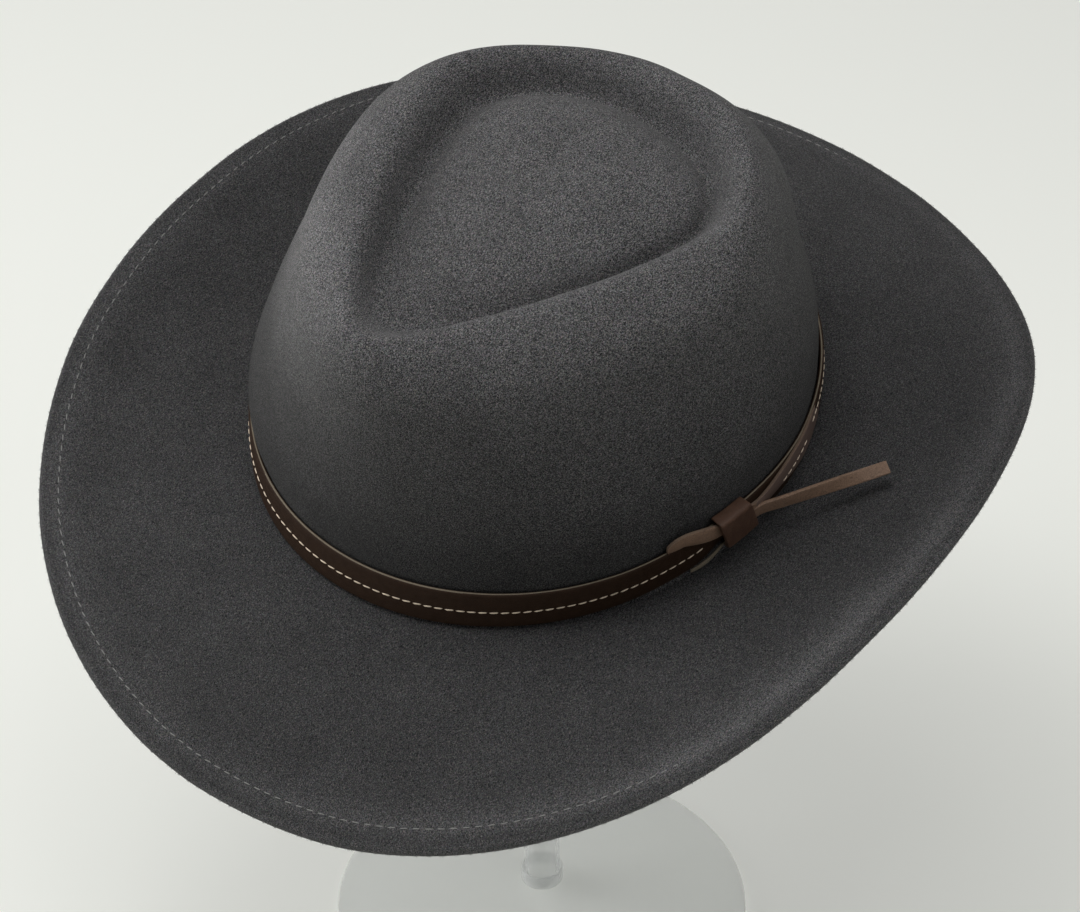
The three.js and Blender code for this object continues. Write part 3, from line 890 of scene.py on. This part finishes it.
class HAT_OT_felt(bpy.types.Operator):
    """Makes the smooth felt hat from the solid felt body"""
    bl_idname = "hat.make_felt"
    bl_label = "Felt hat"

    def execute(self, context):
        piece = merged_copy("felt_body", "felt_hat")
        smooth = piece.modifiers.new("smoothing", "SUBSURF")
        smooth.levels = smooth.render_levels = SMOOTH_LEVELS
        waver = piece.modifiers.new("waver", "DISPLACE")
        waver.texture = bpy.data.textures.new("felt_waver", "CLOUDS")
        waver.texture.noise_scale = WAVER_SCALE
        waver.strength = context.scene.hat_sizes.felt_waver
        apply_all(piece)
        bpy.ops.object.shade_smooth()
        self.swell(piece, context.scene.hat_sizes.felt_swell)
        self.grow(piece)
        self.paint_nap(piece)
        # Paints light and shade into the felt's tone
        self.paint_light_and_shade(piece)
        piece.data.materials.append(felt_material(context.scene.hat_colours))
        hand_over(piece, "felt", "felt_body")
        return {"FINISHED"}

    def swell(self, piece, most):
        """Lets the crown's right side swell out a little just above the band."""
        start, fullest, end = SWELL_HEIGHTS
        for vertex in piece.data.vertices:
            place = TO_HAT @ vertex.co
            if head_oval(place) < CROWN_OVAL:
                turn = turn_of(place)
                share = cosine_share(turn, SWELL_TURN, SWELL_SPREAD)
                rise = smooth_step(place.z, start, fullest) * (1 - smooth_step(place.z, fullest, end))
                vertex.co += (TO_PART.to_3x3() @ radial(turn)) * most * share * rise

    def grow(self, piece):
        """Fits the brim's edge and the crown's shoulder to the photo's outline."""
        for vertex in piece.data.vertices:
            place = TO_HAT @ vertex.co
            turn = turn_of(place)
            oval = head_oval(place)
            if oval < SHOULDER_OVAL and place.z > 0:
                share = smooth_step(place.z, *SHOULDER_HEIGHTS) * smooth_step(oval, *SHOULDER_OVALS)
                shift = (place - CROWN_MIDDLE).normalized() * growth_at(CROWN_GROWTH, turn) * share
            else:
                shift = radial(turn) * growth_at(BRIM_GROWTH, turn) * smooth_step(oval, *BRIM_OVALS)
            vertex.co = TO_PART @ (place + shift)

    def paint_nap(self, piece):
        """1 on the brushed crown, 0 on the pressed brim."""
        nap = piece.data.attributes.new("brushed_nap", "FLOAT", "POINT")
        for vertex, brushed in zip(piece.data.vertices, nap.data):
            place = TO_HAT @ vertex.co
            brushed.value = float(head_oval(place) < NAP_OVAL and place.z > 0)

    def paint_light_and_shade(self, piece):
        """Painted light and shade in the felt's tone: by height and side on the crown, and by the way in
        from the edge on the brim.
        """
        edge = sorted((turn_of(p), p.length) for p in brim_outline(piece))
        edge = [(edge[-1][0] - math.tau, edge[-1][1])] + edge + [(edge[0][0] + math.tau, edge[0][1])]
        attributes = piece.data.attributes
        for name in ("felt_painted_light_and_shade", "edge_inset"):
            attributes.new(name, "FLOAT", "POINT")
        values = zip(piece.data.vertices, attributes["felt_painted_light_and_shade"].data, attributes["edge_inset"].data)
        for vertex, tone, inset in values:
            place = TO_HAT @ vertex.co
            turn = turn_of(place)
            way_in = between(edge, turn) - place.to_2d().length
            inset.value = way_in
            # Painted light where the brim's edge turns up to the light
            rim = 1 + between(RIM_PAINTED_LIGHT, 1000 * way_in) * cosine_share(turn, RIM_TURN, RIM_SPREAD)
            # Painted light and shade along the brim's fold: lighter at the edge and on the bulge, darker
            # between
            tone.value = between(EDGE_LIGHT_AND_SHADE, 1000 * way_in) * rim
            oval = head_oval(place)
            if oval < CROWN_OVAL and place.z > CROWN_FOOT:
                # Painted light on the crown's side near its shoulder on the wearer's front right
                lift = PAINTED_LIGHT_LIFT * cosine_share(turn, PAINTED_LIGHT_TURN, PAINTED_LIGHT_SPREAD)
                lift *= smooth_step(place.z, *PAINTED_LIGHT_HEIGHTS) * smooth_step(oval, *PAINTED_LIGHT_OVALS)
                # Painted shade darkens the crown towards the band, and it is painted lighter towards the
                # top
                tone.value = between(CROWN_PAINTED_SHADE, 1000 * place.z) * (1 + lift)


class HAT_OT_fuzz(bpy.types.Operator):
    """Grows short hairs on the edge of the brim"""
    bl_idname = "hat.grow_fuzz"
    bl_label = "Felt fuzz"

    def execute(self, context):
        sizes = context.scene.hat_sizes
        felt = bpy.data.objects["felt_hat"].data
        inset = felt.attributes["edge_inset"].data
        rim = [face for face in felt.polygons if all(inset[i].value < FUZZ_REACH for i in face.vertices)]
        if not rim:
            raise RuntimeError("The felt has no edge to grow hairs on")
        chance = random.Random(HAIR_SEED)
        points, faces = [], []
        for face in rim:
            corners = [felt.vertices[i].co for i in face.vertices]
            for _ in range(int(face.area * HAIRS_PER_AREA + chance.random())):
                weights = [chance.random() for _ in corners]
                root = sum((corner * weight for corner, weight in zip(corners, weights)), Vector())
                root /= sum(weights)
                stray = Vector([chance.uniform(-1, 1) for _ in range(3)])
                along = (face.normal + stray * HAIR_STRAY).normalized()
                side = along.orthogonal().normalized() * sizes.fuzz_thickness / 2
                other = side.cross(along)
                tip = root + along * sizes.fuzz_length * chance.uniform(SHORTEST_HAIR, 1)
                start = len(points)
                points += [root + side, root - side / 2 + other, root - side / 2 - other, tip]
                faces += [(start, start + 1, start + 3), (start + 1, start + 2, start + 3),
                          (start + 2, start, start + 3), (start, start + 2, start + 1)]
        mesh = bpy.data.meshes.new("felt_fuzz")
        mesh.from_pydata(points, [], faces)
        mesh.materials.append(hair_material(context.scene.hat_colours))
        hand_over(new_piece("felt_fuzz", mesh), "felt")
        return {"FINISHED"}


class HAT_OT_brim_stitches(bpy.types.Operator):
    """Sews the row of stitches round the edge of the brim, above and below"""
    bl_idname = "hat.stitch_brim"
    bl_label = "Brim stitches"

    def execute(self, context):
        sizes = context.scene.hat_sizes
        felt = bpy.data.objects["felt_hat"]
        material = thread_material("brim_thread", context.scene.hat_colours.brim_thread)
        for name, above in (("brim_stitches_upper", True), ("brim_stitches_under", False)):
            places = brim_stitch_places(felt, sizes.brim_stitch_inset, sizes.brim_stitch_pitch, above)
            piece = sew(name, places, sizes.brim_stitch_length, sizes.brim_thread, material)
            hand_over(piece, "felt")
        return {"FINISHED"}


class HAT_OT_band(bpy.types.Operator):
    """Makes the leather band with rounded edges and a raw upper and lower edge"""
    bl_idname = "hat.make_band"
    bl_label = "Leather band"

    def execute(self, context):
        look = context.scene.hat_colours
        piece = merged_copy("hat_band", "leather_band")
        round_and_smooth(piece, context.scene.hat_sizes.band_round)
        piece.data.materials.append(
            leather_material("band_leather", look.band_brown, 0.58, 0.0, (1, 1, 1), 0.35))
        piece.data.materials.append(raw_edge_material("band_raw_edge", look.raw_edge))
        self.bare_cut_edges(piece)
        hand_over(piece, "band_leather", "hat_band")
        return {"FINISHED"}

    def bare_cut_edges(self, piece):
        """Gives the raw edge to the faces that look up or down the hat's upright axis."""
        upright = (TO_PART.to_3x3() @ Vector((0, 0, 1))).normalized()
        for face in piece.data.polygons:
            if abs(face.normal.dot(upright)) > CUT_FACING:
                face.material_index = 1


class HAT_OT_knot_wrap(bpy.types.Operator):
    """Makes the slanted leather wrap that holds the thongs"""
    bl_idname = "hat.make_wrap"
    bl_label = "Knot wrap"

    def execute(self, context):
        look = context.scene.hat_colours
        piece = merged_copy("knot_wrap", "leather_wrap")
        round_and_smooth(piece, context.scene.hat_sizes.wrap_round)
        piece.data.materials.append(
            leather_material("wrap_leather", look.wrap_brown, 0.42, 0.2, (1, 1, 0.35), 0.7))
        hand_over(piece, "thong_leather", "knot_wrap")
        return {"FINISHED"}


class HAT_OT_thongs(bpy.types.Operator):
    """Makes the tie thong with the layer that it becomes, the lip of the band and the loose tail"""
    bl_idname = "hat.make_thongs"
    bl_label = "Thongs"

    def execute(self, context):
        look = context.scene.hat_colours
        sizes = context.scene.hat_sizes
        leather = leather_material("thong_leather", look.thong_brown, 0.42, 0.3, (0.25, 1, 1), 0.6)
        raw = raw_edge_material("thong_raw_edge", look.thong_edge)
        felt = surface_tree(bpy.data.objects["felt_hat"])
        heights = BandHeights(bpy.data.objects["leather_band"])
        rows = []
        for low, high, off in TIE_ROWS:
            ends = [(KNOT_TURN + math.radians(turn), height) for turn, height in (low, high)]
            rows.append([wall_point(felt, turn, height, off) for turn, height in ends])
        rows += [band_row(felt, heights, row) for row in STRAP_ROWS]
        tie = ribbon(
            "leather_tie", rows, TIE_FULLNESS, sizes.tie_thickness, sizes.thong_round, leather, raw)
        tie.data.materials.append(solids_material("band_leather"))
        self.face_strap(tie)
        hand_over(tie, "thong_leather", "tie_thong")
        rows = [band_row(felt, heights, row) for row in LIP_ROWS]
        pale = bpy.data.materials["band_raw_edge"]
        lip = ribbon("leather_lip", rows, LIP_FULLNESS, sizes.lip_thickness, LIP_ROUND, pale, pale)
        hand_over(lip, "band_leather")
        tail = merged_copy("loose_tail", "leather_tail")
        round_and_smooth(tail, sizes.thong_round)
        tail.data.materials.append(leather)
        hand_over(tail, "thong_leather", "loose_tail")
        return {"FINISHED"}

    def face_strap(self, tie):
        """Past the wrap the face has the plain leather of the band's solid, not the band's grained one."""
        for face in tie.data.polygons:
            place = TO_HAT @ face.center
            turn = math.remainder(turn_of(place) - KNOT_TURN, math.tau)
            if face.material_index == 0 and turn > STRAP_START:
                face.material_index = 2


class HAT_OT_band_stitches(bpy.types.Operator):
    """Sews the pale row of stitches along the band"""
    bl_idname = "hat.stitch_band"
    bl_label = "Band stitches"

    def execute(self, context):
        sizes = context.scene.hat_sizes
        band = bpy.data.objects["leather_band"]
        tie = bpy.data.objects["leather_tie"]
        places = band_stitch_places(band, tie, sizes.band_stitch_pitch)
        material = thread_material("band_thread", context.scene.hat_colours.band_thread)
        piece = sew("band_stitches", places, sizes.band_stitch_length, sizes.band_thread, material)
        hand_over(piece, "band_leather")
        return {"FINISHED"}


class HAT_OT_stand(bpy.types.Operator):
    """Makes the clear stand: base, collar, rod and the top under the crown"""
    bl_idname = "hat.make_stand"
    bl_label = "Clear stand"

    def execute(self, context):
        edge = context.scene.hat_sizes.acrylic_round
        base = self.round_body("stand_base", BASE_SIDES)
        self.finish(base, "clear_base", "stand_base", edge)
        # The base's edge gets a paler, less clear finish as a painted highlight
        self.paint_rim_glint(base)
        self.finish(self.round_body("stand_rod", ROD_SIDES), "clear_rod", "stand_rod", edge)
        collar = self.round_body("stand_collar", ROD_SIDES, end_fill_type="NOTHING")
        self.give_wall(collar)
        self.finish(collar, "clear_collar", "stand_collar", edge)
        top = merged_copy("stand_top", "clear_top")
        round_and_smooth(top, edge, STAND_SHARP_TURN)
        top.data.materials.append(solids_material("clear_acrylic"))
        hand_over(top, "clear_acrylic", "stand_top")
        return {"FINISHED"}

    def round_body(self, node, sides, **ends):
        """An upright round body that fills the node's box."""
        low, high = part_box(node)
        deselect_all()
        bpy.ops.mesh.primitive_cylinder_add(
            vertices=sides, radius=(high.x - low.x) / 2, depth=high.z - low.z,
            location=(low + high) / 2, **ends)
        return bpy.context.object

    def give_wall(self, collar):
        """Makes the collar a ring that leaves room for the rod."""
        low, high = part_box("stand_collar")
        rod_low, rod_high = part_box("stand_rod")
        wall = collar.modifiers.new("wall", "SOLIDIFY")
        wall.thickness = (high.x - low.x - (rod_high.x - rod_low.x)) / 2 - ROD_GAP
        wall.offset = -1

    def finish(self, piece, name, node, edge):
        """Rounds the rims, names the piece and hands it over."""
        piece.name = name
        piece.data.name = name
        rounding = piece.modifiers.new("rounding", "BEVEL")
        rounding.width = edge
        rounding.segments = 4
        rounding.limit_method = "ANGLE"
        apply_all(piece)
        set_at_origin(piece)
        bpy.ops.object.shade_smooth_by_angle(angle=STAND_SHARP_TURN)
        piece.data.materials.append(solids_material("clear_acrylic"))
        hand_over(piece, "clear_acrylic", node)

    def paint_rim_glint(self, base):
        """Gives the edge of the disc its own paler finish, a painted highlight along the rim."""
        base.data.materials.append(rim_glint_material())
        for face in base.data.polygons:
            if abs(face.normal.z) < RIM_FACING:
                face.material_index = 1


# Stage

def view_axes():
    """Towards the camera over the floor, to the picture's left, and up."""
    towards = radial(CAMERA_TURN)
    return towards, Vector((towards.y, -towards.x, 0)), Vector((0, 0, 1))


class HAT_OT_studio(bpy.types.Operator):
    """Sets the pale floor, the soft lights and the camera"""
    bl_idname = "hat.set_studio"
    bl_label = "Studio"

    def execute(self, context):
        self.floor(context)
        self.camera(context)
        self.lights(context)
        self.air(context)
        return {"FINISHED"}

    def floor(self, context):
        deselect_all()
        bpy.ops.mesh.primitive_plane_add(size=FLOOR_SIZE, location=(0, 0, -FLOOR_DROP))
        floor = context.object
        floor.name = "studio_floor"
        material, _, shader = new_material("studio_floor")
        glow = context.scene.hat_studio.floor_glow
        set_inputs(shader, Base_Color=colour(context.scene.hat_colours.floor), Roughness=0.9)
        set_inputs(shader, Specular_IOR_Level=0.2, Emission_Color=GLOW_COLOUR, Emission_Strength=glow)
        floor.data.materials.append(material)

    def camera(self, context):
        """The camera at the photo's angle, turned a little so that no shift is needed."""
        towards, left, up = view_axes()
        place = HAT_CENTRE + CAMERA_DISTANCE * (
            math.cos(CAMERA_ELEVATION) * towards + math.sin(CAMERA_ELEVATION) * up)
        tip = CAMERA_ELEVATION + math.atan((IMAGE_SIZE[1] / 2 - CENTRE_PIXEL[1]) / FOCAL_PIXELS)
        swing = math.atan((IMAGE_SIZE[0] / 2 - CENTRE_PIXEL[0]) / FOCAL_PIXELS)
        look = -math.cos(tip) * towards - math.sin(tip) * up - math.sin(swing) * left
        data = bpy.data.cameras.new("photo_view")
        data.lens = FOCAL_PIXELS / IMAGE_SIZE[0] * SENSOR_WIDTH
        data.sensor_width = SENSOR_WIDTH
        camera = bpy.data.objects.new("photo_view", data)
        camera.location = place
        camera.rotation_mode = "QUATERNION"
        camera.rotation_quaternion = look.to_track_quat("-Z", "Y")
        context.scene.collection.objects.link(camera)
        context.scene.camera = camera

    def lights(self, context):
        look = context.scene.hat_studio
        towards, left, up = view_axes()
        self.soft_light("left_light", 1.25 * left - 0.35 * towards + 1.15 * up, look.left_power)
        self.soft_light("low_left_light", 1.5 * left + 0.55 * up, look.low_left_power)
        self.soft_light("top_light", 1.6 * up, look.top_power)
        self.soft_light("top_left_light", 0.8 * left + 1.5 * up, look.top_left_power)
        self.soft_light("right_light", -1.2 * left + 1.2 * up, look.right_power)
        self.soft_light("front_right_light", 0.9 * towards - 0.9 * left + up, look.front_right_power)

    def air(self, context):
        """It lights nothing, and past the floor the camera sees the floor's own glow."""
        world = bpy.data.worlds.new("studio_air")
        world.use_nodes = True
        tree = world.node_tree
        unlit = tree.nodes["Background"]
        unlit.inputs["Strength"].default_value = 0
        seen = add_node(tree, "ShaderNodeBackground")
        seen.inputs["Color"].default_value = GLOW_COLOUR
        seen.inputs["Strength"].default_value = context.scene.hat_studio.floor_glow
        path = add_node(tree, "ShaderNodeLightPath")
        mix = add_node(tree, "ShaderNodeMixShader")
        tree.links.new(path.outputs["Is Camera Ray"], mix.inputs[0])
        tree.links.new(unlit.outputs[0], mix.inputs[1])
        tree.links.new(seen.outputs[0], mix.inputs[2])
        tree.links.new(mix.outputs[0], tree.nodes["World Output"].inputs["Surface"])
        context.scene.world = world

    def soft_light(self, name, offset, power):
        """A square light that looks at the hat's centre from an offset."""
        data = bpy.data.lights.new(name, "AREA")
        data.shape = "SQUARE"
        data.size = LIGHT_SIZE
        data.energy = power
        light = bpy.data.objects.new(name, data)
        light.location = HAT_CENTRE + offset
        light.rotation_mode = "QUATERNION"
        light.rotation_quaternion = (-offset).to_track_quat("-Z", "Y")
        bpy.context.scene.collection.objects.link(light)


PIECE_OPERATORS = (
    HAT_OT_studio, HAT_OT_felt, HAT_OT_fuzz, HAT_OT_brim_stitches, HAT_OT_band, HAT_OT_knot_wrap,
    HAT_OT_thongs, HAT_OT_band_stitches, HAT_OT_stand,
)


class HAT_PT_builder(bpy.types.Panel):
    """Lists the hat's pieces in the sidebar"""
    bl_idname = "HAT_PT_builder"
    bl_label = "Felt Hat"
    bl_space_type = "VIEW_3D"
    bl_region_type = "UI"
    bl_category = "Hat"

    def draw(self, context):
        for made in PIECE_OPERATORS:
            self.layout.operator(made.bl_idname)
        for group in (context.scene.hat_sizes, context.scene.hat_colours, context.scene.hat_studio):
            box = self.layout.box()
            for name in group.__annotations__:
                box.prop(group, name)


CLASSES = (HatSizes, HatColours, StudioLook, *PIECE_OPERATORS, HAT_PT_builder)


def register():
    for each in CLASSES:
        bpy.utils.register_class(each)
    bpy.types.Scene.hat_sizes = PointerProperty(type=HatSizes)
    bpy.types.Scene.hat_colours = PointerProperty(type=HatColours)
    bpy.types.Scene.hat_studio = PointerProperty(type=StudioLook)


def unregister():
    del bpy.types.Scene.hat_studio
    del bpy.types.Scene.hat_colours
    del bpy.types.Scene.hat_sizes
    for each in reversed(CLASSES):
        bpy.utils.unregister_class(each)


def main():
    register()
    bpy.context.scene.view_settings.view_transform = "Standard"
    bpy.ops.hat.set_studio()
    bpy.ops.hat.make_felt()
    bpy.ops.hat.grow_fuzz()
    bpy.ops.hat.stitch_brim()
    bpy.ops.hat.make_band()
    bpy.ops.hat.make_wrap()
    bpy.ops.hat.make_thongs()
    bpy.ops.hat.stitch_band()
    bpy.ops.hat.make_stand()
    bpy.context.view_layer.update()


if __name__ == "__main__":
    main()
